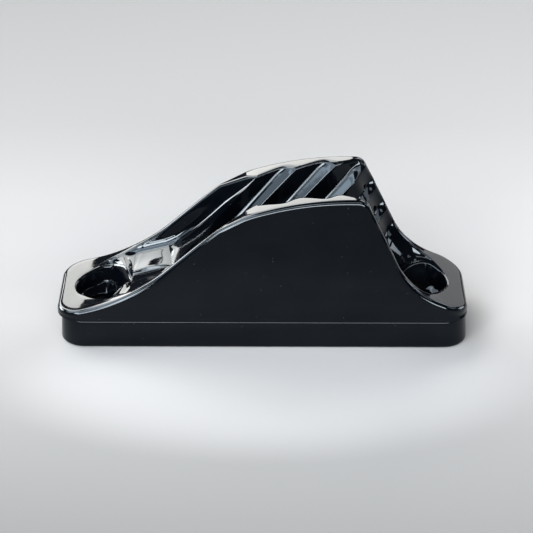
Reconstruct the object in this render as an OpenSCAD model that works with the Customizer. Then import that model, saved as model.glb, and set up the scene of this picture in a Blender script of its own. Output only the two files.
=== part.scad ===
// Open-top ribbed rope cleat: a moulded jaw body on a matching base pad.
// +X points from the long ramp to the steep end, +Z points away from the deck,
// and the origin is on the deck under the middle of the cleat.

/* [Body] */
// Length of the cleat from end to end
body_len = 66; // [60:0.5:72]
// Width of the jaw body where it meets the pad
body_w = 17.1; // [16:0.1:18]
// Height of the crest above the deck
crest_z = 26.2; // [25:0.1:27]
// Radius of the four corners in plan
corner_r = 4; // [3:0.5:5]
// Inward lean of the outer side walls in degrees
side_draft = 1.7; // [0:0.1:2]

/* [Base pad] */
// Thickness of the base pad
pad_t = 4.7; // [4:0.1:5]
// Width of the base pad at the deck
pad_w = 17.7; // [17.4:0.1:18.5]
// How much narrower each pad side is at the top than at the deck
pad_taper = 0.25; // [0.1:0.05:0.4]
// How far the body stands past the pad at the ramp end
ramp_overhang = 0.45; // [0:0.05:0.8]

/* [Rope channel] */
// Height of the channel floor above the deck
floor_z = 9.5; // [9:0.1:10.5]
// Half width of the channel floor
floor_half = 0.7; // [0.5:0.1:1]
// Lean of each jaw face from the vertical in degrees
jaw_lean = 14.5; // [12:0.5:16]
// Fall of the channel floor towards the ramp end in degrees
ramp_fall = 15; // [12:1:18]

/* [Ridges] */
// Number of flutes cut in each jaw face
flutes = 7; // [5:1:7]
// Distance between flutes along the cleat
flute_pitch = 5.7; // [5.5:0.1:6]
// Radius of one flute
flute_r = 2.1; // [2:0.1:2.4]
// Depth of one flute below the ridge crests
flute_depth = 1.1; // [0.8:0.1:1.2]
// Lean of the ridges from the vertical, towards the steep end, in degrees
ridge_lean = 43; // [40:1:46]

/* [Screw holes] */
// Distance between the two screw holes
hole_pitch = 52; // [51:0.5:52.5]
// Radius of the hole for a 5 mm screw
hole_r = 2.65; // [2.55:0.05:2.75]
// Radius of the well that clears the screw head
well_r = 4.4; // [4.2:0.1:4.6]
// Height of the floor of the well at the hole's edge above the deck
sink_z = 3.15; // [2.8:0.05:3.4]
// Radius of the bosses that plug into the pad
boss_r = 5.2; // [5.1:0.1:5.4]

/* [Hidden] */
$fn = 64;

half_len = body_len / 2;
hole_x = hole_pitch / 2;
over = 30;                 // how far a cutter runs past the solid
seat_slope = 20;           // fall of the well's floor towards the hole in degrees
sink_top = sink_z + (well_r - hole_r) * tan(seat_slope);
socket_gap = 0.1;          // clearance between a boss and its socket
core_ends = [-12, 17];     // ends of the core pockets under the jaws
core_in = 2.4;
core_out = 6.2;
core_top = 8.6;
tongue_h = 2.5;            // locating tongues that stand in the core pockets
tongue_gap = 0.15;
ramp_angle = 42;           // slope of the straight stretch of the ramp
ramp_mid = [-12, 16.6];    // a point on it
steep_angle = 65;          // slope of the steep end
steep_mid = [20, 17.7];    // a point on it
scoop_floor = 7;           // the scoops at both ends level out at this height
rim = 1.5;                 // thinnest wall that a scoop leaves at its side
skin = 0.01;               // thickness of a slice that only carries an outline
arc_step = 4;              // degrees of one facet of a round stretch

// Side outline of the body: each corner is [x, z, radius of its round].
outline = [
    [-half_len, pad_t, 0],
    [-half_len, 5.83, 1],
    [-21.87, 7.72, 30],
    [-5.08, 22.83, 22],
    [6.96, crest_z, 48],
    [16.05, crest_z, 2],
    [23.58, 10, 13],
    [half_len, 6.04, 1],
    [half_len, pad_t, 0]
];

function heading(a, b) = atan2(b[1] - a[1], b[0] - a[0]);
function wrapped(a) = a > 180 ? a - 360 : a < -180 ? a + 360 : a;

// The points of one rounded corner b between its neighbours a and c.
function rounded(a, b, c) =
    let (
        turn = wrapped(heading(b, c) - heading(a, b)),
        from = heading(a, b),
        back = b[2] * tan(abs(turn) / 2),
        side = turn > 0 ? 90 : -90,
        start = [b[0] - back * cos(from), b[1] - back * sin(from)],
        centre = start + b[2] * [cos(from + side), sin(from + side)],
        steps = max(1, ceil(abs(turn) / arc_step))
    )
    b[2] == 0 ? [[b[0], b[1]]]
    : [for (i = [0 : steps])
        centre - b[2] * [cos(from + side + turn * i / steps),
                         sin(from + side + turn * i / steps)]];

function side_points(v) = [
    for (i = [0 : len(v) - 1])
        each rounded(v[(i + len(v) - 1) % len(v)], v[i], v[(i + 1) % len(v)])
];

module footprint(length, width, height) {
    // Rounded rectangle in plan, standing on z = 0.
    linear_extrude(height)
        union() {
            square([length - 2 * corner_r, width], center = true);
            square([length, width - 2 * corner_r], center = true);
            for (x = [-1, 1], y = [-1, 1])
                translate([x * (length / 2 - corner_r), y * (width / 2 - corner_r)])
                    circle(corner_r);
        }
}

module side_profile() {
    // The side outline drawn across the full width.
    rotate([90, 0, 0])
        linear_extrude(2 * body_w, center = true)
            polygon(side_points(outline));
}

module draft_cutters() {
    // Wedges that lean both outer side walls inwards above the pad.
    for (s = [-1, 1])
        translate([0, s * body_w / 2, pad_t])
            rotate([s * side_draft, 0, 0])
                translate([-2 * over, s > 0 ? 0 : -over, 0])
                    cube([4 * over, over, over]);
}

module channel_section(length) {
    // Cross-section of the rope channel, run along +X from x = 0.
    top = over * tan(jaw_lean);
    rotate([90, 0, 90])
        linear_extrude(length)
            polygon([[-floor_half, 0], [floor_half, 0],
                     [floor_half + top, over], [-floor_half - top, over]]);
}

module rope_channel() {
    // Level through the jaws, then falling to the well at the ramp end.
    fall_start = -14;
    translate([fall_start, 0, floor_z])
        channel_section(over + half_len);
    translate([fall_start, 0, floor_z])
        rotate([0, -ramp_fall, 0])
            translate([-11, 0, 0])
                channel_section(13);
}

module scoop(mid, angle, radius, depth, from, length) {
    // A round trough along a slope, its bottom at depth below the slope's surface.
    intersection() {
        translate([mid[0], 0, mid[1]])
            rotate([0, -angle, 0])
                translate([from, 0, radius - depth])
                    rotate([0, 90, 0])
                        cylinder(r = radius, h = length);
        translate([-body_len, rim - body_w / 2, scoop_floor])
            cube([2 * body_len, body_w - 2 * rim, 2 * over]);
    }
}

module jaw_flutes() {
    // Diagonal flutes of the far jaw face, kept out of the floor and the other jaw.
    intersection() {
        translate([-half_len, 0, floor_z + 0.6])
            cube([body_len, body_w / 2, over]);
        union() {
            for (i = [0 : flutes - 1])
                translate([-12.6 + i * flute_pitch, floor_half, floor_z])
                    rotate([-jaw_lean, 0, 0])
                        rotate([0, ridge_lean, 0])
                            translate([0, flute_depth - flute_r, 0])
                                cylinder(r = flute_r, h = over);
        }
    }
}

module screw_hole(x) {
    // Through hole, and the open well over it with its sloping floor.
    translate([x, 0, -1])
        cylinder(r = hole_r, h = over);
    translate([x, 0, sink_z])
        cylinder(r1 = hole_r, r2 = well_r, h = sink_top - sink_z);
    translate([x, 0, sink_top])
        cylinder(r = well_r, h = over);
}

module core_pockets(gap, height) {
    // Pair of long pockets under the jaws, or the tongues that fit them.
    for (s = [-1, 1])
        translate([core_ends[0] + gap,
                   s > 0 ? core_in + gap : -core_out + gap,
                   pad_t])
            cube([core_ends[1] - core_ends[0] - 2 * gap,
                  core_out - core_in - 2 * gap,
                  height]);
}

module jaw_body() {
    color("#1c2026")
        difference() {
            union() {
                intersection() {
                    side_profile();
                    translate([0, 0, pad_t])
                        footprint(body_len, body_w, over);
                }
                for (s = [-1, 1])
                    translate([s * hole_x, 0, 0])
                        cylinder(r = boss_r, h = pad_t + 0.2);
            }
            draft_cutters();
            rope_channel();
            scoop(ramp_mid, ramp_angle, 10, 3, -17, 34);
            scoop(steep_mid, -steep_angle, 8, 3, -12, 24);
            jaw_flutes();
            mirror([0, 1, 0])
                jaw_flutes();
            screw_hole(-hole_x);
            screw_hole(hole_x);
            translate([0, 0, -0.01])
                core_pockets(0, core_top - pad_t);
        }
}

module base_pad() {
    pad_len = body_len - ramp_overhang;
    color("#20242a")
        union() {
            difference() {
                translate([ramp_overhang / 2, 0, 0])
                    hull() {
                        footprint(pad_len, pad_w, skin);
                        translate([0, 0, pad_t - skin])
                            footprint(pad_len - 2 * pad_taper,
                                      pad_w - 2 * pad_taper,
                                      skin);
                    }
                for (s = [-1, 1])
                    translate([s * hole_x, 0, -1])
                        cylinder(r = boss_r + socket_gap, h = pad_t + 2);
            }
            core_pockets(tongue_gap, tongue_h);
        }
}

jaw_body();
base_pad();
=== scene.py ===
"""Ribbed rope cleat: a glossy moulded jaw body on a matching base pad.

Sizes are in millimetres in the classes below and turn into metres when a mesh is made. +X points
from the long ramp to the steep end, +Z away from the deck, and the far jaw is the one at +Y.
"""

import logging
import math
from dataclasses import dataclass, field
from enum import Enum
from typing import ClassVar

import bmesh
import bpy
import numpy as np
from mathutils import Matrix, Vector


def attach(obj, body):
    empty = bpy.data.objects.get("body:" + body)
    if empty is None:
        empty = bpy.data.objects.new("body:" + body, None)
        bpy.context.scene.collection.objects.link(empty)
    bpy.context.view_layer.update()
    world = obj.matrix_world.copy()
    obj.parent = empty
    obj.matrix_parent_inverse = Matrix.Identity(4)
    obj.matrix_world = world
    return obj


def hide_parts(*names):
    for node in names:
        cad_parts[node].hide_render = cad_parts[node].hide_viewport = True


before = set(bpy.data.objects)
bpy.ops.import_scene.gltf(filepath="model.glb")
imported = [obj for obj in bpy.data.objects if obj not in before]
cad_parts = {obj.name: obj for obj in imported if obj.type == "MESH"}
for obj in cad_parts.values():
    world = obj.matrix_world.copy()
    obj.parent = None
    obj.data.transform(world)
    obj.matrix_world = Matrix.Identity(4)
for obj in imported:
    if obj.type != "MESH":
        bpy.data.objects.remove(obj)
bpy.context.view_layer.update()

MM = 0.001
# Places in rising order, each with its value.
Keys = tuple[tuple[float, float], ...]
ALL_WAYS = Vector((1, 1, 1))
WELD = 0.0003
MIRROR_WELD = 0.01
# Where the camera and the lights are aimed, in metres.
TARGET = (0, 0, 0.012)
log = logging.getLogger("rope_cleat")


class Piece(Enum):
    """The pieces of the cleat, named as their nodes."""

    JAW_BODY = "jaw_body"
    BASE_PAD = "base_pad"


class SlabEdges(Enum):
    """Edges of a slab, by the heights of their lower and upper ends as shares of the slab's."""

    UPRIGHT = (0.0, 1.0)
    TOP = (1.0, 1.0)
    BOTTOM = (0.0, 0.0)


def smooth_step(low: float, high: float, value: np.ndarray) -> np.ndarray:
    """Rises from 0 at low to 1 at high with level ends.

    Args:
        low: Value where the rise starts.
        high: Value where it ends.
        value: Values to look up.

    Returns:
        The share of the rise at each value.
    """
    share = np.clip((np.asarray(value, float) - low) / (high - low), 0, 1)
    return share * share * (3 - 2 * share)


def mix(first: np.ndarray, second: np.ndarray, share: np.ndarray) -> np.ndarray:
    """Goes from the first value to the second as share goes from 0 to 1."""
    return first + (second - first) * share


def points(x: np.ndarray, y: np.ndarray, z: np.ndarray) -> np.ndarray:
    """Joins coordinates, or single numbers, into an array of points."""
    return np.stack(np.broadcast_arrays(np.asarray(x, float), y, z), axis=-1)


def rounded_paths(
    controls: np.ndarray, cuts: np.ndarray, arcs: list[int], legs: list[int]
) -> np.ndarray:
    """Draws many polylines at once, each with its corners rounded by true arcs.

    Args:
        controls: Corner points, as columns x corners x 3.
        cuts: How far from each corner its arc starts, as columns x corners.
        arcs: Steps in the arc of each corner; the two ends have none.
        legs: Steps in the straight stretch after each corner but the last.

    Returns:
        The points of all paths, as columns x rows x 3.
    """
    leg = np.diff(controls, axis=1)
    length = np.linalg.norm(leg, axis=2)
    unit = leg / np.maximum(length, 1e-9)[..., None]
    cut = np.array(cuts, float)
    cut[:, 0] = 0
    cut[:, -1] = 0
    wanted = cut[:, :-1] + cut[:, 1:]
    room = np.minimum(1, length / np.maximum(wanted, 1e-9))
    cut[:, :-1] = np.minimum(cut[:, :-1], cut[:, :-1] * room)
    cut[:, 1:] = np.minimum(cut[:, 1:], cut[:, 1:] * room)
    rows = []
    last = controls.shape[1] - 1
    for k in range(last):
        start = controls[:, k] + unit[:, k] * cut[:, k, None]
        end = controls[:, k + 1] - unit[:, k] * cut[:, k + 1, None]
        rows += [mix(start, end, i / legs[k]) for i in range(legs[k])]
        if k + 1 == last:
            rows.append(end)
            continue
        after = controls[:, k + 1] + unit[:, k + 1] * cut[:, k + 1, None]
        turn = np.sum(unit[:, k] * unit[:, k + 1], axis=1)
        weight = np.sqrt(np.clip((1 + turn) / 2, 0.01, 1))[:, None]
        for i in range(arcs[k + 1]):
            t = i / arcs[k + 1]
            a, b, c = (1 - t) ** 2, 2 * t * (1 - t) * weight, t * t
            rows.append((a * end + b * controls[:, k + 1] + c * after) / (a + b + c))
    return np.stack(rows, axis=1)


@dataclass(frozen=True)
class Corner:
    """A corner of an outline in side view, and the radius of its round."""

    x: float
    z: float
    round: float = 0.0


class SideOutline:
    """The line that the rim follows in side view, from the ramp end to the steep end."""

    def __init__(self, corners: list[Corner], step: float = 0.02) -> None:
        """Rounds the corners and spaces the points evenly.

        Args:
            corners: Corners in order along +X.
            step: Distance between the stored points.
        """
        controls = np.array([[[c.x, 0, c.z] for c in corners]])
        before = np.diff(controls[0], axis=0)
        before /= np.linalg.norm(before, axis=1)[:, None]
        cuts = np.zeros((1, len(corners)))
        for k in range(1, len(corners) - 1):
            turn = math.acos(float(np.clip(before[k - 1] @ before[k], -1, 1)))
            cuts[0, k] = corners[k].round * math.tan(turn / 2)
        count = len(corners)
        raw = rounded_paths(controls, cuts, [200] * count, [20] * (count - 1))[0][:, [0, 2]]
        run = np.append(0, np.cumsum(np.linalg.norm(np.diff(raw, axis=0), axis=1)))
        self.s = np.linspace(0, run[-1], int(run[-1] / step))
        self.x = np.interp(self.s, run, raw[:, 0])
        self.z = np.interp(self.s, run, raw[:, 1])
        tangent = np.stack([np.gradient(self.x, self.s), np.gradient(self.z, self.s)], axis=1)
        tangent /= np.linalg.norm(tangent, axis=1)[:, None]
        self.nx, self.nz = -tangent[:, 1], tangent[:, 0]

    def height(self, x: np.ndarray) -> np.ndarray:
        """The rim's height at x."""
        return np.interp(x, self.x, self.z)

    def normal(self, x: np.ndarray) -> tuple[np.ndarray, np.ndarray]:
        """The rim's upward normal at x, in side view."""
        return np.interp(x, self.x, self.nx), np.interp(x, self.x, self.nz)

    def nearest(self, x: np.ndarray, z: np.ndarray) -> np.ndarray:
        """Finds the rim's point nearest to each given point.

        Args:
            x: Places along the cleat.
            z: Heights.

        Returns:
            The x of each nearest point.
        """
        gap = (self.x[None] - np.asarray(x)[:, None]) ** 2
        gap += (self.z[None] - np.asarray(z)[:, None]) ** 2
        return self.x[gap.argmin(axis=1)]


@dataclass(frozen=True)
class Ridges:
    """The slanting saw-tooth ridges of a jaw face, by their place along the channel floor."""

    first_crest: float = -15.5
    start: float = -14.75
    pitch: float = 5.7
    back: float = 1.9
    toe: float = 0.65
    toe_rise: float = 0.3
    depth: float = 1.35
    rise: float = 1.04
    crest_cut: float = 0.16
    valley_cut: float = 0.3
    toe_cut: float = 0.5
    rim_softness: float = 0.85
    leg_steps: tuple[int, ...] = (7, 2, 4)
    arc_steps: tuple[int, ...] = (3, 5, 3)
    fine_step: float = 0.01
    line_end: float = 40.0

    def corners(self, first: float, end: float) -> list[tuple[float, float]]:
        """Lists the corners of the saw-tooth line.

        Args:
            first: Place of the crest where the line starts.
            end: Place that the line has to pass.

        Returns:
            The place and the depth of each corner.
        """
        line = [(first, 0.0)]
        while line[-1][0] < end:
            crest = line[-1][0] + self.pitch
            line += [
                (crest - self.back, self.depth),
                (crest - self.back + self.toe, self.depth - self.toe_rise),
                (crest, 0.0),
            ]
        return line

    def profile(self, end: float) -> tuple[np.ndarray, np.ndarray]:
        """Follows the ridges from where the entry cuts off the first crest.

        Args:
            end: Place where the profile stops.

        Returns:
            The places along the floor, and how deep the face is cut below the crests there.
        """
        line = self.corners(self.first_crest, end)
        start_depth = self.soft_depth(np.array([self.start]), self.fine_step)[0]
        line[0] = (self.start, start_depth)
        controls = np.array([[[place, cut, 0.0] for place, cut in line]])
        kinds = [self.crest_cut, self.valley_cut, self.toe_cut]
        cuts = np.array([[kinds[k % 3] for k in range(len(line))]])
        legs = [self.leg_steps[k % 3] for k in range(len(line) - 1)]
        arcs = [self.arc_steps[k % 3] for k in range(len(line))]
        path = rounded_paths(controls, cuts, arcs, legs)[0]
        keep = path[:, 0] < end
        return path[keep, 0], path[keep, 1]

    def soft_depth(self, place: np.ndarray, reach: float) -> np.ndarray:
        """Looks up the saw-tooth line averaged over a stretch.

        Args:
            place: Places along the floor.
            reach: Half of the stretch's length.

        Returns:
            The averaged depth at each place.
        """
        line = np.array(self.corners(self.first_crest - self.pitch, self.line_end))
        fine = np.arange(line[0, 0], line[-1, 0], self.fine_step)
        total = np.cumsum(np.interp(fine, line[:, 0], line[:, 1])) * self.fine_step
        ahead = np.interp(place + reach, fine, total)
        behind = np.interp(place - reach, fine, total)
        return (ahead - behind) / (2 * reach)


def keyed(keys: Keys, at: np.ndarray) -> np.ndarray:
    """Follows a smooth curve through given places and values.

    Args:
        keys: Places in rising order, each with its value.
        at: Places to look up.

    Returns:
        The curve's value at each place; it stays level past the first and last key.
    """
    place = np.array([k[0] for k in keys], float)
    value = np.array([k[1] for k in keys], float)
    slope = np.zeros(len(keys))
    secant = np.diff(value) / np.diff(place)
    same_way = secant[:-1] * secant[1:] > 0
    harmonic = 2 * secant[:-1] * secant[1:] / np.where(same_way, secant[:-1] + secant[1:], 1)
    slope[1:-1] = np.where(same_way, harmonic, 0)
    slope[0], slope[-1] = secant[0], secant[-1]
    at = np.clip(np.asarray(at, float), place[0], place[-1])
    k = np.clip(np.searchsorted(place, at, side="right") - 1, 0, len(keys) - 2)
    width = place[k + 1] - place[k]
    t = (at - place[k]) / width
    return (
        value[k] * (1 + 2 * t) * (1 - t) ** 2
        + slope[k] * width * t * (1 - t) ** 2
        + value[k + 1] * t * t * (3 - 2 * t)
        + slope[k + 1] * width * t * t * (t - 1)
    )


@dataclass(frozen=True)
class WellEnd:
    """How the flange at one end runs round its screw well.

    Bearings are in degrees round the hole, 0 towards the end of the cleat and 180 towards the
    channel. The bearings of the land's inner edge and of the well's mouth go by the distance
    along the outer edge from the middle of the end, and everything else goes by those bearings.
    The descent says how far across and how far down each corner between the two lies.
    """

    side: int
    edge_bearing: Keys
    edge_radius: Keys
    mouth_bearing: Keys
    mouth_radius: Keys
    mouth_drop: Keys
    foot_radius: Keys
    foot_height: Keys
    sink_height: Keys
    blend: tuple[float, float]
    descent: Keys = ((0.2, 0.78), (0.5, 0.9), (0.8, 0.97), (0.92, 1.0))
    columns: int = 110


@dataclass(frozen=True)
class Trough:
    """The trough that the ramp's rims hold between them, by the place on the rim beside it.

    The last four lists end where the first ridge meets the rim.
    """

    slot_half: Keys = ((0, 1.75), (1, 1.13))
    slot_depth: Keys = ((0, 0.5), (0.35, 0.65), (0.7, 0.45), (1, 0.03))
    edge: Keys = ((-20, 7.05), (-7.0, 7.05), (-6.0, 6.9), (-4.5, 6.3), (-3.0, 5.6), (-1.8, 5.1))
    half_width: Keys = (
        (-19.6, 6.55), (-16.9, 6.35), (-10, 6.1), (-7, 5.7), (-5, 5.2), (-3.5, 4.9), (-2, 4.75)
    )
    shift: Keys = (
        (-19.6, 0.0), (-18.4, 0.6), (-16.9, 1.45), (-15, 1.8), (-12, 1.84), (-9, 1.67), (-6, 1.1),
        (-4, 0.7), (-2.5, 0.3),
    )
    drop: Keys = (
        (-19.6, 1.2), (-18.4, 1.44), (-16.9, 1.63), (-15, 2.0), (-12, 2.04), (-9, 1.86),
        (-6, 1.54), (-4, 1.16), (-2, 0.7),
    )
    smoothing: int = 24
    sag: float = 0.1
    sag_end: float = 0.6
    slot_lean: float = 0.1
    slot_draft: float = 0.2
    slot_rise: float = 0.02
    crest_shares: tuple[float, float] = (0.1, 0.04)
    closing: tuple[float, float] = (0.8, 1.0)
    columns: int = 43


@dataclass(frozen=True)
class SteepMouth:
    """How the ridged jaw faces open out and run down to the well at the steep end.

    fade, ending and last are places along the channel floor, and steep is places on the rim.
    """

    fade: tuple[float, float] = (14.0, 20.0)
    ending: float = 15.0
    last: float = 22.6
    steep: tuple[float, float] = (14.0, 18.2)
    edge: float = 6.75
    edge_wave: float = 0.35
    crowding: float = 0.55
    foot_wave: float = 0.5
    foot_spread: float = 0.9
    near: tuple[float, float, float] = (0.3, 1.3, 5.9)
    far: tuple[float, float, float] = (0.6, 2.6, 3.6)
    flare_wave: float = 0.8
    above_foot: float = 0.9


class Moulding:
    """A moulded piece that takes the place of one CAD node."""

    kind: ClassVar[Piece]

    def build(self) -> bpy.types.Object:
        """Makes the piece's mesh."""
        raise NotImplementedError

    def dress(self, piece: bpy.types.Object, finish: bpy.types.Material) -> None:
        """Gives the finished mesh its material and its CAD node's place.

        Args:
            piece: The finished mesh's object.
            finish: The material.
        """
        piece.data.materials.clear()
        piece.data.materials.append(finish)
        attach(piece, "root")
        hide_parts(self.kind.value)
        log.info("%s: %d faces", piece.name, len(piece.data.polygons))


@dataclass
class JawBody(Moulding):
    """The moulded body: two ridged jaws, a ramp, a steep end and a screw well at each end."""

    kind: ClassVar[Piece] = Piece.JAW_BODY

    half_length: float = 33.0
    half_width: float = 8.55
    seam: float = 4.7
    corner_radius: float = 4.0
    draft: float = math.tan(math.radians(1.7))
    crest_height: float = 26.2
    outer_round: float = 0.7
    inner_round: float = 0.5
    top_round: float = 0.9
    wall_round: float = 1.0
    low_round: float = 0.9
    slot_round: float = 0.12
    foot_round: float = 0.3
    seat_round: float = 0.15
    side_drop: float = 1.3
    side_share: float = 0.8
    floor: float = 9.5
    floor_half: float = 0.7
    jaw_slope: float = math.tan(math.radians(14.5))
    hole_x: float = 26.0
    hole_radius: float = 2.65
    lip: float = 0.35
    lip_drop: float = 0.03
    boss_radius: float = 5.2
    well_mouth: float = -21.2
    well_joint: float = -19.6
    steep_mouth: float = 21.2
    ramp_fall: float = 0.335
    ramp_fall_start: float = -15.0
    ramp_bend: float = 1.5
    steep_fall: float = 2.6
    steep_fall_start: float = 20.0
    steep_bend: float = 1.0
    top_start: tuple[float, float] = (-6.0, 0.0)
    top_end: tuple[float, float] = (14.0, 17.5)
    ridges: Ridges = field(default_factory=Ridges)
    trough: Trough = field(default_factory=Trough)
    mouth: SteepMouth = field(default_factory=SteepMouth)
    hair: float = 0.001
    smooth_angle: float = 50.0
    arcs: tuple[int, ...] = (0, 1, 8, 7, 8, 6, 4, 3)
    legs: tuple[int, ...] = (3, 2, 5, 4, 4, 4, 3, 3)
    well_arcs: tuple[int, ...] = (0, 5, 3, 2)
    well_legs: tuple[int, ...] = (2, 4, 4, 5)

    def __post_init__(self) -> None:
        """Works out the rim's outline in side view and the two ends."""
        self.rim = SideOutline([
            Corner(-self.half_length, 5.83),
            Corner(-21.87, 7.72, 30),
            Corner(-5.08, 22.83, 22),
            Corner(6.96, self.crest_height, 48),
            Corner(16.05, self.crest_height, 2),
            Corner(23.58, 10, 13),
            Corner(self.half_length, 6.04),
        ])
        self.ramp_end = WellEnd(
            side=-1,
            edge_bearing=((0, 0), (4.5, 33), (7.7, 52), (10.8, 70.7), (13.8, 90), (16.8, 109.3),
                          (18.6, 121), (20.23, 132.2)),
            edge_radius=((0, 4.62), (30, 4.62), (52, 4.65), (62, 4.85), (76, 5.35), (89, 5.9),
                         (103, 6.75), (115, 7.6), (132.2, 9.52)),
            mouth_bearing=((0, 0), (4.5, 33), (7.7, 52), (10.8, 72), (13.8, 95), (16, 122),
                           (18.2, 154), (20.23, 180)),
            mouth_radius=((0, 4.6), (52, 4.62), (76, 5.1), (89, 5.6), (103, 5.75), (115, 5.3),
                          (130, 4.95), (150, 4.8), (180, 4.8)),
            mouth_drop=((0, 0.03), (52, 0.03), (76, 0.2), (89, 0.5), (103, 0.8), (115, 0.72),
                        (130, 0.66), (150, 0.85), (180, 1.2)),
            foot_radius=((0, 4.15), (52, 4.15), (75, 4.5), (89, 4.9), (103, 4.7), (115, 4.1),
                         (130, 3.4), (150, 3.05), (180, 3.0)),
            foot_height=((0, 3.75), (60, 3.75), (89, 4.1), (103, 4.4), (115, 4.8), (180, 4.9)),
            sink_height=((0, 3.15), (90, 3.15), (125, 3.9), (180, 3.9)),
            blend=(17.2, 20.2),
        )
        self.steep_end = WellEnd(
            side=1,
            edge_bearing=((0, 0), (4.5, 33), (7.7, 52), (10.8, 72), (13.8, 92), (16.4, 111)),
            edge_radius=((0, 4.25), (30, 4.4), (52, 4.9), (76, 5.95), (90, 6.5), (111, 7.2)),
            mouth_bearing=((0, 0), (4.5, 33), (7.7, 54), (10.8, 84), (13.8, 130), (16.4, 180)),
            mouth_radius=((0, 4.2), (30, 4.3), (54, 4.6), (84, 5.3), (110, 5.1), (130, 4.85),
                          (180, 4.8)),
            mouth_drop=((0, 0.03), (30, 0.05), (54, 0.15), (84, 0.5), (110, 1.2), (180, 4)),
            foot_radius=((0, 3.85), (30, 3.8), (54, 3.5), (84, 3.2), (180, 3.0)),
            foot_height=((0, 3.75), (30, 3.9), (54, 4.6), (84, 4.9), (180, 4.9)),
            sink_height=((0, 3.15), (30, 3.3), (60, 3.9), (180, 3.9)),
            blend=(9.0, 15.5),
        )

    def channel_floor(self, x: np.ndarray) -> np.ndarray:
        """Follows the channel's middle line: level, then falling to the well at each end.

        Args:
            x: Places along the cleat.

        Returns:
            The height at each place.
        """
        x = np.asarray(x, float)
        fall = self.ramp_fall * soft_rise(self.ramp_fall_start - x, self.ramp_bend)
        drop = self.steep_fall * soft_rise(x - self.steep_fall_start, self.steep_bend)
        return self.floor - fall - drop

    def side(self, z: np.ndarray) -> np.ndarray:
        """Half width of the leaning outer side at a height."""
        return self.half_width - self.draft * (z - self.seam)

    def outer(self, x: np.ndarray) -> list[np.ndarray]:
        """The first three corners of a section on a straight side, from the seam to the rim.

        Args:
            x: Where the sections cross the rim.

        Returns:
            The points at the seam, on the side just below the rim, and at the rim.
        """
        z = self.rim.height(x)
        nx, nz = self.rim.normal(x)
        below = np.minimum(self.side_drop, self.side_share * (z - self.seam))
        low_z = z - nz * below
        return [
            points(x, self.half_width, self.seam),
            points(x - nx * below, self.side(low_z), low_z),
            points(x, self.side(z), z),
        ]

    def cuts(self, controls: np.ndarray) -> np.ndarray:
        """Works out how far the rounds of each section reach from its corners.

        Args:
            controls: Corners of the sections, as columns x corners x 3.

        Returns:
            The reach of each round, as columns x corners.
        """
        row = [0, 0, self.outer_round, self.inner_round, self.wall_round, self.low_round]
        row += [self.slot_round, self.slot_round, 0]
        extra = [0] * (controls.shape[1] - len(row))
        cuts = np.tile(row + extra, (len(controls), 1)).astype(float)
        x = controls[:, 2, 0]
        on_top = smooth_step(*self.top_start, x) * (1 - smooth_step(*self.top_end, x))
        cuts[:, 3] = mix(self.inner_round, self.top_round, on_top)
        return cuts

    def ridged_controls(self) -> np.ndarray:
        """Corners of the ridged sections: each follows one ridge line from the rim to the floor.

        Returns:
            The corners, as columns x corners x 3.
        """
        mouth = self.mouth
        place, cut = self.ridges.profile(mouth.last)
        rim_cut = self.ridges.soft_depth(place, self.ridges.rim_softness)
        on_rim = np.interp(
            place, self.rim.x - (self.rim.z - self.floor) / self.ridges.rise, self.rim.x
        )
        fading = 1 - smooth_step(*mouth.fade, place)
        cut = cut * fading
        rim_cut = rim_cut * fading
        z = self.rim.height(on_rim)
        steep = smooth_step(*mouth.steep, on_rim)
        face = self.floor_half + (z - self.floor) * self.jaw_slope
        edge = mix(face + rim_cut, mouth.edge + mouth.edge_wave * rim_cut, steep)
        ending = smooth_step(mouth.ending, mouth.last, place)
        crowded = self.steep_mouth - (mouth.last - place) * mouth.crowding
        foot_x = mix(place, crowded, ending)
        foot_z = self.channel_floor(foot_x)
        foot_y = self.floor_half + mouth.foot_wave * cut + mouth.foot_spread * ending
        down = np.hypot(on_rim - foot_x, z - foot_z)
        corners = self.outer(on_rim) + [points(on_rim, edge, z)]
        for most, reach, half in (mouth.near, mouth.far):
            share = np.minimum(most, reach / down)
            plain = mix(face + cut, foot_y, share)
            flare = np.maximum(half + mouth.flare_wave * cut, plain)
            across = mix(plain, flare, steep)
            corners.append(points(mix(on_rim, foot_x, share), across, mix(z, foot_z, share)))
        foot = points(foot_x, foot_y, foot_z)
        above_foot = mix(corners[-1], foot, mouth.above_foot)
        corners += [above_foot, foot, points(foot_x, 0, foot_z)]
        return np.stack(corners, axis=1)

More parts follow.
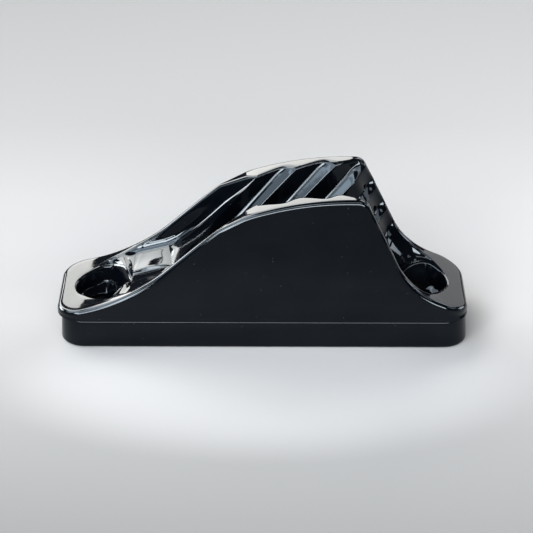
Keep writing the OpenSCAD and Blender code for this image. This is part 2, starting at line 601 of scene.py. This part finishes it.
    def entry_controls(self, crest: np.ndarray, apex: np.ndarray) -> np.ndarray:
        """Corners of the entry's sections: from the ramp's rim down the trough to the first crest.

        Args:
            crest: The first crest's points, from just under the rim to the channel's middle line.
            apex: The corner where the first crest meets the rim.

        Returns:
            The corners, from the section at the well to the one that closes on the first crest.
        """
        trough = self.trough
        count = trough.columns
        x_along = np.linspace(self.well_mouth, crest[-1, 0], count + 1)[:-1]
        middle = points(x_along, 0, self.channel_floor(x_along))
        line = np.concatenate([middle, crest[::-1]])
        run = np.append((x_along - x_along[0]) / (crest[-1, 0] - x_along[0]), np.ones(len(crest)))
        top = crest[0]
        climb = np.clip((line[:, 2] - crest[-1, 2]) / (top[2] - crest[-1, 2]), 0, 1)
        climb[:count] = 0
        on_rim = self.rim.nearest(line[:, 0], line[:, 2])
        on_rim[:count] = mix(self.well_joint, on_rim[count], run[:count])
        end_x, end_y, end_z = apex
        on_rim = mix(on_rim, end_x, smooth_step(*trough.closing, climb))
        rim_z = self.rim.height(on_rim)
        edge = points(on_rim, keyed(trough.edge + ((end_x, end_y),), on_rim), rim_z)
        wall = points(
            on_rim + keyed(trough.shift + ((end_x, top[0] - end_x),), on_rim),
            keyed(trough.half_width + ((end_x, top[1]),), on_rim),
            rim_z - keyed(trough.drop + ((end_x, end_z - top[2]),), on_rim),
        )
        slot_y = keyed(trough.slot_half, run)
        slot_z = line[:, 2] + keyed(trough.slot_depth, run)
        slot_top = points(line[:, 0] + trough.slot_lean * (1 - run), slot_y, slot_z)
        slot_foot = points(line[:, 0], slot_y - trough.slot_draft, line[:, 2] + trough.slot_rise)
        on_crest = (climb > 0)[:, None]
        middle_of = mix(wall, np.where(on_crest, line, slot_top), 0.5)
        middle_of[:, 2] -= trough.sag * (1 - smooth_step(trough.sag_end, 1.0, climb))
        top_share, foot_share = trough.crest_shares
        slot_top = np.where(on_crest, mix(line, middle_of, top_share), slot_top)
        middle_of = eased(middle_of, trough.smoothing)
        slot_top = eased(slot_top, trough.smoothing)
        slot_foot = np.where(on_crest, mix(line, middle_of, foot_share), slot_foot)
        controls = np.stack(
            self.outer(on_rim) + [edge, wall, middle_of, slot_top, slot_foot, line], axis=1
        )
        controls[-1, 3] = apex
        controls[-1, 4:] = top
        return controls

    def end_controls(self, end: WellEnd, joint: np.ndarray) -> np.ndarray:
        """Corners of the sections that fan round a screw well.

        Args:
            end: Which end, and how its flange runs.
            joint: Corners of the neighbouring section, where the fan stops.

        Returns:
            The corners, from the section at the middle of the end to the one at the neighbour.
        """
        straight = self.half_width - self.corner_radius
        arc = self.corner_radius * math.pi / 2
        side_start = straight + arc
        length = side_start + self.half_length - self.corner_radius - abs(joint[0, 0])
        s = np.linspace(0, length, end.columns)
        turn = np.clip((s - straight) / arc, 0, 1) * math.pi / 2
        centre_x = self.half_length - self.corner_radius
        out = np.stack([np.cos(turn), np.sin(turn)], axis=1)
        x = centre_x + self.corner_radius * out[:, 0] - np.maximum(s - side_start, 0)
        y = np.minimum(s, straight) + self.corner_radius * out[:, 1]
        z = self.rim.height(end.side * x)
        nx, nz = self.rim.normal(end.side * x)
        nx = nx * end.side * out[:, 1]
        below = np.minimum(self.side_drop, self.side_share * (z - self.seam))
        low_z = z - nz * below
        lean = self.draft * (z - self.seam)
        low_lean = self.draft * (low_z - self.seam)
        rim = points(x - out[:, 0] * lean, y - out[:, 1] * lean, z)
        low = points(
            x - out[:, 0] * low_lean - nx * below, y - out[:, 1] * low_lean, low_z
        )
        place = s * end.edge_bearing[-1][0] / length
        bearing = keyed(end.edge_bearing, place)
        edge = self.round_hole(bearing, keyed(end.edge_radius, bearing), 0)
        edge[:, 2] = self.rim.height(end.side * edge[:, 0])
        bearing = keyed(end.mouth_bearing, place)
        mouth_radius = keyed(end.mouth_radius, bearing)
        mouth = self.round_hole(bearing, mouth_radius, 0)
        closing = smooth_step(*end.blend, place)
        mouth[:, 2] = self.rim.height(end.side * mouth[:, 0]) - keyed(end.mouth_drop, bearing)
        mouth[:, 2] = mix(mouth[:, 2], joint[-1, 2], closing)
        mouth[-1] = joint[-1] * [end.side, 1, 1]
        edge[-1] = joint[3] * [end.side, 1, 1]
        flat = joint * [end.side, 1, 1]
        corners = [points(x, y, self.seam), low, rim, edge]
        weight = closing[:, None]
        weight[-1] = 1
        for k, (along, sunk) in enumerate(end.descent, start=4):
            share = (flat[3] - flat[k]) / (flat[3] - flat[8])
            used = mix(np.array([along, along, sunk]), share, weight)
            corners.append(edge + (mouth - edge) * used)
        corners += [
            mouth,
            self.round_hole(bearing, mouth_radius - self.lip, mouth[:, 2] - self.lip_drop),
            self.round_hole(
                bearing, keyed(end.foot_radius, bearing), keyed(end.foot_height, bearing)
            ),
            self.round_hole(bearing, self.hole_radius, keyed(end.sink_height, bearing)),
            self.round_hole(bearing, self.hole_radius, 0.0),
        ]
        controls = np.stack(corners, axis=1)
        controls[..., 0] *= end.side
        controls[-1, :9] = joint
        return controls

    def round_hole(
        self, bearing: np.ndarray, radius: np.ndarray | float, z: np.ndarray | float
    ) -> np.ndarray:
        """Points round a screw hole at bearings in degrees, 0 towards the end of the cleat."""
        turn = np.radians(bearing)
        return points(self.hole_x + radius * np.cos(turn), radius * np.sin(turn), z)

    def sections(self) -> list[np.ndarray]:
        """Works out the far half's surface as four sheets of sections that meet edge to edge.

        Returns:
            The sheets, each as columns x rows x 3.
        """
        arcs, legs = list(self.arcs), list(self.legs)
        ridged = self.ridged_controls()
        ridged_sheet = rounded_paths(ridged, self.cuts(ridged), arcs, legs)
        rim_rows = sum(self.legs[:3]) + sum(self.arcs[:4])
        entry = self.entry_controls(ridged_sheet[0, rim_rows:], ridged[0, 3])
        cuts = self.cuts(entry)
        cuts[-1, 4:] = 0
        entry_sheet = rounded_paths(entry, cuts, arcs, legs)
        sheets = [entry_sheet, ridged_sheet]
        for end, joint in ((self.ramp_end, entry[0]), (self.steep_end, ridged[-1])):
            controls = self.end_controls(end, joint)
            cuts = self.cuts(controls)
            cuts[:, 9:12] = (self.lip, self.foot_round, self.seat_round)
            well_arcs = arcs + list(self.well_arcs)
            well_legs = legs + list(self.well_legs)
            sheets.append(rounded_paths(controls, cuts, well_arcs, well_legs))
        return sheets

    def build(self) -> bpy.types.Object:
        """Makes the body's mesh.

        Returns:
            The body's object.
        """
        parts = [sheet_object(f"sheet_{k}", sheet) for k, sheet in enumerate(self.sections())]
        body = joined("moulded_jaw_body", parts)
        with_mirror(body)
        self.close_under(body)
        return body

    def close_under(self, piece: bpy.types.Object) -> None:
        """Closes the underside: the screw bosses, and the flat face that lies on the pad.

        Args:
            piece: The body, still open below.
        """
        only(piece)
        bpy.ops.object.mode_set(mode="EDIT")
        bpy.ops.mesh.select_mode(type="EDGE")
        reach = 1.1 * self.hole_radius
        for side in (-1, 1):
            centre = Vector((side * self.hole_x, 0, 0))
            corner = Vector((reach, reach, self.hair))
            select_open_edges(piece, centre - corner, centre + corner)
            bpy.ops.mesh.extrude_edges_move()
            scale = self.boss_radius / self.hole_radius
            bpy.ops.transform.resize(value=(scale, scale, 1), center_override=centre * MM)
            bpy.ops.mesh.extrude_edges_move(
                TRANSFORM_OT_translate={"value": (0, 0, self.seam * MM)}
            )
        low = Vector((-self.half_length, -self.half_width, self.seam)) - self.hair * ALL_WAYS
        high = Vector((self.half_length, self.half_width, self.seam)) + self.hair * ALL_WAYS
        select_open_edges(piece, low, high)
        bpy.ops.mesh.fill(use_beauty=True)
        bpy.ops.mesh.select_all(action="SELECT")
        bpy.ops.mesh.normals_make_consistent(inside=False)
        bpy.ops.object.mode_set(mode="OBJECT")
        bpy.ops.object.shade_smooth_by_angle(angle=math.radians(self.smooth_angle))


def eased(curve: np.ndarray, passes: int) -> np.ndarray:
    """Rounds the corners of a line of points, leaving its two ends in place.

    Args:
        curve: Points in order.
        passes: How often the line is smoothed.

    Returns:
        The rounded line.
    """
    curve = curve.copy()
    for _ in range(passes):
        curve[1:-1] = (curve[:-2] + 2 * curve[1:-1] + curve[2:]) / 4
    return curve


def soft_rise(past: np.ndarray, blend: float) -> np.ndarray:
    """Zero below zero, then a straight rise, with a soft bend between them."""
    return blend * np.logaddexp(0, np.asarray(past, float) / blend * 3) / 3


def only(piece: bpy.types.Object) -> None:
    """Leaves one object selected and active.

    Args:
        piece: The object.
    """
    bpy.ops.object.select_all(action="DESELECT")
    piece.select_set(True)
    bpy.context.view_layer.objects.active = piece


def sheet_object(name: str, sheet: np.ndarray) -> bpy.types.Object:
    """Lays a grid over a sheet of sections.

    Args:
        name: The object's name.
        sheet: Points in millimetres, as columns x rows x 3.

    Returns:
        The new object.
    """
    columns, rows = sheet.shape[:2]
    bpy.ops.mesh.primitive_grid_add(x_subdivisions=rows - 1, y_subdivisions=columns - 1, size=1)
    piece = bpy.context.object
    piece.name = name
    if len(piece.data.vertices) != rows * columns:
        raise RuntimeError(f"grid {len(piece.data.vertices)} for {rows * columns}")
    piece.data.vertices.foreach_set("co", (sheet * MM).astype(np.float32).ravel())
    return piece


def joined(name: str, parts: list[bpy.types.Object]) -> bpy.types.Object:
    """Joins objects into one and welds the points that they share.

    Args:
        name: The joined object's name.
        parts: The objects.

    Returns:
        The joined object.
    """
    bpy.ops.object.select_all(action="DESELECT")
    for part in parts:
        part.select_set(True)
    bpy.context.view_layer.objects.active = parts[0]
    bpy.ops.object.join()
    piece = bpy.context.object
    bpy.ops.object.mode_set(mode="EDIT")
    bpy.ops.mesh.select_all(action="SELECT")
    bpy.ops.mesh.remove_doubles(threshold=WELD * MM)
    bpy.ops.object.mode_set(mode="OBJECT")
    piece.name = name
    return piece


def with_mirror(piece: bpy.types.Object) -> None:
    """Adds the other half across the middle plane.

    Args:
        piece: One half of a symmetrical mesh.
    """
    only(piece)
    mirror = piece.modifiers.new("other_half", "MIRROR")
    mirror.use_axis = (False, True, False)
    mirror.use_clip = True
    mirror.merge_threshold = MIRROR_WELD * MM
    bpy.ops.object.modifier_apply(modifier=mirror.name)


def unselected(piece: bpy.types.Object) -> bmesh.types.BMesh:
    """Deselects everything in a mesh in edit mode.

    Args:
        piece: The object in edit mode.

    Returns:
        Its mesh, ready for selecting.
    """
    mesh = bmesh.from_edit_mesh(piece.data)
    for element in (*mesh.verts, *mesh.edges, *mesh.faces):
        element.select = False
    return mesh


def select_open_edges(piece: bpy.types.Object, low: Vector, high: Vector) -> None:
    """Selects a mesh's open edges, in edit mode, whose middles lie in a box.

    Args:
        piece: The object in edit mode.
        low: The box's lowest corner in millimetres.
        high: The box's highest corner in millimetres.
    """
    mesh = unselected(piece)
    for edge in mesh.edges:
        middle = (edge.verts[0].co + edge.verts[1].co) / (2 * MM)
        inside = all(a < c < b for a, b, c in zip(low, high, middle))
        if edge.is_boundary and inside:
            edge.select_set(True)
    bmesh.update_edit_mesh(piece.data)


@dataclass
class BasePad(Moulding):
    """The pad under the body, with the sockets that the body's bosses plug into."""

    kind: ClassVar[Piece] = Piece.BASE_PAD

    half_width: float = 8.85
    half_length: float = 32.775
    shift: float = 0.225
    thickness: float = 4.7
    taper: float = 0.25
    corner_radius: float = 4.0
    top_edge: float = 0.12
    bottom_edge: float = 0.5
    hole_x: float = 26.0
    socket_radius: float = 5.3
    corner_steps: int = 24
    top_steps: int = 3
    bottom_steps: int = 8
    socket_steps: int = 96
    smooth_angle: float = 40.0

    def build(self) -> bpy.types.Object:
        """Makes the pad's mesh.

        Returns:
            The pad's object.
        """
        bpy.ops.object.select_all(action="DESELECT")
        middle = (self.shift * MM, 0, self.thickness / 2 * MM)
        size = (2 * self.half_length * MM, 2 * self.half_width * MM, self.thickness * MM)
        bpy.ops.mesh.primitive_cube_add(size=1, location=middle, scale=size)
        pad = bpy.context.object
        bpy.ops.object.transform_apply(location=True, rotation=False, scale=True)
        bpy.ops.object.mode_set(mode="EDIT")
        bpy.ops.mesh.select_mode(type="EDGE")
        self.choose(pad, SlabEdges.UPRIGHT)
        bpy.ops.mesh.bevel(
            offset=self.corner_radius * MM, segments=self.corner_steps, profile=0.5
        )
        self.choose(pad, SlabEdges.TOP)
        shrink_x = 1 - self.taper / self.half_length
        shrink_y = 1 - self.taper / self.half_width
        bpy.ops.transform.resize(
            value=(shrink_x, shrink_y, 1), center_override=(middle[0], 0, self.thickness * MM)
        )
        bpy.ops.mesh.bevel(offset=self.top_edge * MM, segments=self.top_steps, profile=0.5)
        self.choose(pad, SlabEdges.BOTTOM)
        bpy.ops.mesh.bevel(offset=self.bottom_edge * MM, segments=self.bottom_steps, profile=0.5)
        bpy.ops.object.mode_set(mode="OBJECT")
        for side in (-1, 1):
            self.cut_socket(pad, side)
        only(pad)
        bpy.ops.object.shade_smooth_by_angle(angle=math.radians(self.smooth_angle))
        pad.name = "moulded_base_pad"
        return pad

    def cut_socket(self, pad: bpy.types.Object, side: int) -> None:
        """Cuts the round socket that one boss plugs into.

        Args:
            pad: The pad's object.
            side: -1 for the ramp end, 1 for the steep end.
        """
        bpy.ops.mesh.primitive_cylinder_add(
            vertices=self.socket_steps,
            radius=self.socket_radius * MM,
            depth=4 * self.thickness * MM,
            location=(side * self.hole_x * MM, 0, 0),
        )
        cutter = bpy.context.object
        only(pad)
        cut = pad.modifiers.new("socket", "BOOLEAN")
        cut.operation = "DIFFERENCE"
        cut.object = cutter
        bpy.ops.object.modifier_apply(modifier=cut.name)
        bpy.data.objects.remove(cutter)

    def choose(self, pad: bpy.types.Object, kind: SlabEdges) -> None:
        """Selects one kind of the slab's edges, in edit mode.

        Args:
            pad: The pad's object, still a slab.
            kind: Which edges.
        """
        lower, upper = (share * self.thickness * MM for share in kind.value)
        near = 0.05 * self.thickness * MM
        mesh = unselected(pad)
        for edge in mesh.edges:
            ends = sorted(vertex.co.z for vertex in edge.verts)
            if abs(ends[0] - lower) < near and abs(ends[1] - upper) < near:
                edge.select_set(True)
        bmesh.update_edit_mesh(pad.data)


class Wire:
    """A shader value that can be used in ordinary arithmetic."""

    def __init__(self, maker: "Shader", socket: bpy.types.NodeSocket) -> None:
        """Keeps the socket and the shader that it belongs to."""
        self.maker = maker
        self.socket = socket

    def math(self, operation: str, *values: object) -> "Wire":
        """Adds a Math node that works on the given values."""
        return self.maker.node("ShaderNodeMath", {"operation": operation}, dict(enumerate(values)))

    def __add__(self, other: object) -> "Wire":
        """Sum."""
        return self.math("ADD", self, other)

    def __sub__(self, other: object) -> "Wire":
        """Difference."""
        return self.math("SUBTRACT", self, other)

    def __rsub__(self, other: object) -> "Wire":
        """Difference, with the plain number first."""
        return self.math("SUBTRACT", other, self)

    def __mul__(self, other: object) -> "Wire":
        """Product."""
        return self.math("MULTIPLY", self, other)

    __radd__ = __add__
    __rmul__ = __mul__


class Shader:
    """Builds one node material."""

    def __init__(self, name: str) -> None:
        """Starts an empty material with its output and surface nodes.

        Args:
            name: The material's name.
        """
        self.material = bpy.data.materials.new(name)
        self.material.use_nodes = True
        self.tree = self.material.node_tree
        self.tree.nodes.clear()
        self.output = self.tree.nodes.new("ShaderNodeOutputMaterial")
        self.surface = self.tree.nodes.new("ShaderNodeBsdfPrincipled")
        self.tree.links.new(self.surface.outputs[0], self.output.inputs["Surface"])
        self.place = self.node("ShaderNodeTexCoord", {}, {}, "Object")

    def node(self, kind: str, settings: dict, inputs: dict, output: object = 0) -> Wire:
        """Adds a node.

        Args:
            kind: The node's type.
            settings: Properties of the node; "stops" sets a ramp's colours.
            inputs: Values or wires for its sockets, by name or number.
            output: The output to use.

        Returns:
            The chosen output, ready for arithmetic.
        """
        made = self.tree.nodes.new(kind)
        for key, value in settings.items():
            if key == "stops":
                self.fill_ramp(made.color_ramp, value)
            else:
                setattr(made, key, value)
        for key, value in inputs.items():
            if isinstance(value, Wire):
                self.tree.links.new(value.socket, made.inputs[key])
            else:
                made.inputs[key].default_value = value
        return Wire(self, made.outputs[output])

    @staticmethod
    def fill_ramp(ramp: bpy.types.ColorRamp, stops: list[tuple[float, tuple]]) -> None:
        """Sets the stops of a colour ramp.

        Args:
            ramp: The ramp.
            stops: Positions in rising order, each with its colour.
        """
        while len(ramp.elements) < len(stops):
            ramp.elements.new(1.0)
        for element, (position, colour) in zip(ramp.elements, stops):
            element.position = position
            element.color = (*colour, 1)

    def noise(self, scale: float, detail: float = 2.0, where: "Wire | None" = None) -> Wire:
        """Cloudy noise; scale is in cells per metre."""
        inputs = {"Vector": where or self.place, "Scale": scale, "Detail": detail}
        return self.node("ShaderNodeTexNoise", {}, inputs, "Fac")

    def ramp(self, value: Wire, low: float, high: float, from_: float = 0, to: float = 1) -> Wire:
        """Maps a value from low..high to from_..to and holds it there."""
        return self.node(
            "ShaderNodeMapRange",
            {"clamp": True, "interpolation_type": "SMOOTHSTEP"},
            {"Value": value, "From Min": low, "From Max": high, "To Min": from_, "To Max": to},
        )

    def blend(self, first: object, second: object, share: Wire) -> Wire:
        """Mixes two colours."""
        return self.node(
            "ShaderNodeMix", {"data_type": "RGBA"}, {0: share, 6: first, 7: second}, 2
        )

    def feed(self, name: str, value: object) -> None:
        """Gives a wire or a constant to one of the surface's sockets.

        Args:
            name: The socket's name.
            value: The wire or the constant.
        """
        if isinstance(value, Wire):
            self.tree.links.new(value.socket, self.surface.inputs[name])
        else:
            self.surface.inputs[name].default_value = value


@dataclass(frozen=True)
class GlossyNylon:
    """Glass-smooth black moulded nylon with a faint blue cast."""

    name: str = "gloss_nylon"
    base: tuple[float, float, float] = (0.0003, 0.0005, 0.0009)
    lighter: tuple[float, float, float] = (0.0007, 0.0010, 0.0015)
    tint: tuple[float, float, float] = (0.80, 0.91, 1.0)
    ior: float = 1.29
    roughness: float = 0.055
    haze: float = 0.05
    peel: float = 0.02
    peel_depth: float = 0.0002
    cloud_scale: float = 140
    smear_scale: float = 260
    dust_scale: float = 2600
    peel_scales: tuple[float, float] = (900, 330)
    flow_scale: tuple[float, float, float] = (60, 420, 420)
    dust_colour: tuple[float, float, float] = (0.03, 0.033, 0.036)
    dust_share: float = 0.25
    dust_roughness: float = 0.3

    def material(self) -> bpy.types.Material:
        """Makes the material.

        Returns:
            The finished material.
        """
        s = Shader(self.name)
        cloud = s.noise(self.cloud_scale, 3)
        drawn = {0: s.place, 1: self.flow_scale}
        flow = s.noise(1, 2, s.node("ShaderNodeVectorMath", {"operation": "MULTIPLY"}, drawn))
        tint = s.ramp(cloud * 0.6 + flow * 0.4, 0.35, 0.7)
        dust = s.ramp(s.noise(self.dust_scale, 1), 0.76, 0.8)
        colour = s.blend((*self.base, 1), (*self.lighter, 1), tint)
        colour = s.blend(colour, (*self.dust_colour, 1), dust * self.dust_share)
        s.feed("Base Color", colour)
        smear = s.ramp(s.noise(self.smear_scale, 4), 0.5, 0.75)
        s.feed("Roughness", smear * self.haze + dust * self.dust_roughness + self.roughness)
        s.feed("IOR", self.ior)
        s.feed("Specular Tint", (*self.tint, 1))
        fine, coarse = self.peel_scales
        peel = s.noise(fine, 1) + s.noise(coarse, 1) * 1.5
        ripple = {"Strength": self.peel, "Distance": self.peel_depth, "Height": peel}
        s.feed("Normal", s.node("ShaderNodeBump", {}, ripple))
        return s.material


@dataclass(frozen=True)
class PaleFloor:
    """A plain matt floor whose colour carries painted light: painted shade falling off towards the
    front and back, painted shade darker towards the left and lighter towards the right, and a
    painted pool of light round the cleat that cancels its wide shadow.
    """

    front: float = -0.060
    back: float = 0.140
    # Painted shade: the floor's colour is darker towards the front and back than in the middle.
    painted_shade_stops: tuple[tuple[float, float], ...] = (
        (0.0, 0.088), (0.13, 0.114), (0.231, 0.141), (0.3, 0.161), (0.353, 0.157), (0.42, 0.163),
        (0.5, 0.161), (0.66, 0.138), (1.0, 0.116),
    )
    # Painted shade: the floor's colour is darker towards the left and lighter towards the right.
    painted_side_shade: float = 1.5
    painted_side_limits: tuple[float, float] = (0.85, 1.15)
    # Painted pool of light: the floor's colour is made paler round the cleat to cancel the cleat's
    # wide shadow.
    painted_light_centre: float = -0.019
    painted_light_half: tuple[float, float] = (0.039, 0.019)
    painted_light_edge: tuple[float, float] = (0.2, 1.3)
    painted_light_gain: float = 1.38

    def build(self) -> bpy.types.Object:
        """Makes the floor with its material.

        Returns:
            The floor's object.
        """
        bpy.ops.object.select_all(action="DESELECT")
        bpy.ops.mesh.primitive_plane_add(size=6, location=(0, 0, 0))
        floor = bpy.context.object
        floor.name = "floor"
        s = Shader("pale_floor")
        x = s.node("ShaderNodeSeparateXYZ", {}, {0: s.place}, "X")
        y = s.node("ShaderNodeSeparateXYZ", {}, {0: s.place}, "Y")
        span = {"Value": y, "From Min": self.front, "From Max": self.back}
        along = s.node("ShaderNodeMapRange", {}, span)
        # Painted shade: the colour falls off from the middle towards the front and back.
        stops = [(place, (shade, shade, shade)) for place, shade in self.painted_shade_stops]
        shade = s.node("ShaderNodeValToRGB", {"stops": stops}, {"Fac": along}, "Color")
        # Painted shade: scales the colour darker towards the left and lighter towards the right.
        low, high = self.painted_side_limits
        sideways = {"Value": x * self.painted_side_shade + 1, "Min": low, "Max": high}
        painted_light_scale = s.node("ShaderNodeClamp", {}, sideways)
        # Painted pool of light: paler floor colour round the cleat, cancelling its cast shadow.
        across = x * (1 / self.painted_light_half[0])
        ahead = (y - self.painted_light_centre) * (1 / self.painted_light_half[1])
        reach = across * across + ahead * ahead
        painted_light_scale = painted_light_scale * s.ramp(reach, *self.painted_light_edge, self.painted_light_gain, 1.0)
        painted_floor_colour = s.node(
            "ShaderNodeVectorMath", {"operation": "SCALE"}, {0: shade, "Scale": painted_light_scale}
        )
        s.feed("Base Color", painted_floor_colour)
        s.feed("Roughness", 0.9)
        s.feed("Specular IOR Level", 0.0)
        floor.data.materials.append(s.material)
        return floor


def direction(azimuth: float, elevation: float) -> Vector:
    """Points away from the cleat.

    Args:
        azimuth: Degrees from straight behind towards the right.
        elevation: Degrees above the deck.

    Returns:
        The direction, one unit long.
    """
    turn, rise = math.radians(azimuth), math.radians(elevation)
    return Vector((math.sin(turn) * math.cos(rise), math.cos(turn) * math.cos(rise), math.sin(rise)))


@dataclass(frozen=True)
class Softbox:
    """A rectangular studio light aimed at the cleat.

    azimuth is measured from straight behind towards the right. All angles are in degrees.
    """

    name: str
    azimuth: float
    elevation: float
    width: float
    height: float
    radiance: float
    tint: tuple[float, float, float] = (1.0, 1.0, 1.0)
    distance: float = 0.8

    def build(self) -> bpy.types.Object:
        """Makes the light.

        Returns:
            The light's object.
        """
        lamp = bpy.data.lights.new(self.name, "AREA")
        lamp.shape = "RECTANGLE"
        lamp.size = 2 * self.distance * math.tan(math.radians(self.width / 2))
        lamp.size_y = 2 * self.distance * math.tan(math.radians(self.height / 2))
        lamp.color = self.tint
        lamp.energy = self.radiance * math.pi * lamp.size * lamp.size_y
        light = bpy.data.objects.new(self.name, lamp)
        bpy.context.scene.collection.objects.link(light)
        aim = direction(self.azimuth, self.elevation)
        light.location = Vector(TARGET) + aim * self.distance
        light.rotation_euler = aim.to_track_quat("Z", "Y").to_euler()
        light.visible_camera = False
        return light


@dataclass(frozen=True)
class Studio:
    """The camera, the softboxes and the room's own light.

    The camera's azimuth is measured from straight in front towards the right.
    """

    distance: float = 0.300
    azimuth: float = 0.31
    elevation: float = 30.4
    lens: float = 125.6
    shift: tuple[float, float] = (0.0075, -0.0206)
    room: tuple[float, float, float] = (0.05, 0.055, 0.065)
    softboxes: tuple[Softbox, ...] = (
        Softbox("front_low", 178, 14, 62, 16, 36),
        Softbox("front_left", -144, 30, 26, 22, 11, (0.92, 0.96, 1.0)),
        Softbox("front_left_core", -141, 26, 13, 14, 42),
        Softbox("front_left_high", -142, 52, 34, 20, 8, (0.9, 0.95, 1.0)),
        Softbox("front_top", 165, 58, 40, 20, 7, (0.95, 0.97, 1.0)),
        Softbox("left_high", -100, 50, 38, 24, 11, (0.80, 0.90, 1.0)),
        Softbox("left_low", -100, 33, 24, 16, 7, (0.78, 0.89, 1.0)),
        Softbox("back_left_low", -62, 15, 24, 18, 30, (0.96, 0.98, 1.0)),
        Softbox("back_left_core", -39, 26, 20, 28, 15, (1.0, 0.99, 0.96)),
        Softbox("back_left_high", -38, 51, 48, 20, 17, (1.0, 0.98, 0.94)),
        Softbox("back", -9, 28, 24, 22, 11.5, (1.0, 0.98, 0.93)),
        Softbox("back_right_low", 26, 17, 28, 14, 1.8),
        Softbox("back_right", 34, 34, 28, 16, 9.5, (0.95, 0.97, 1.0)),
        Softbox("right_low", 64, 13, 28, 14, 9, (0.85, 0.92, 1.0)),
        Softbox("right", 92, 32, 26, 18, 4, (0.85, 0.92, 1.0)),
    )

    def build(self) -> None:
        """Makes the camera, the lights and the world."""
        scene = bpy.context.scene
        scene.view_settings.view_transform = "Standard"
        back = direction(180 - self.azimuth, self.elevation)
        camera_data = bpy.data.cameras.new("camera")
        camera_data.lens = self.lens
        camera_data.sensor_width = 36
        camera_data.shift_x, camera_data.shift_y = self.shift
        camera_data.clip_start = 0.01
        camera = bpy.data.objects.new("camera", camera_data)
        scene.collection.objects.link(camera)
        camera.location = Vector(TARGET) + back * self.distance
        camera.rotation_euler = back.to_track_quat("Z", "Y").to_euler()
        scene.camera = camera
        world = bpy.data.worlds.new("room")
        scene.world = world
        world.use_nodes = True
        world.node_tree.nodes["Background"].inputs["Color"].default_value = (*self.room, 1)
        world.node_tree.nodes["Background"].inputs["Strength"].default_value = 1.0
        for softbox in self.softboxes:
            softbox.build()


def main() -> None:
    """Builds the studio and the pieces in order."""
    logging.basicConfig(level=logging.INFO, format="%(message)s")
    Studio().build()
    PaleFloor().build()
    finish = GlossyNylon().material()
    for moulding in (JawBody(), BasePad()):
        moulding.dress(moulding.build(), finish)


if __name__ == "__main__":
    main()
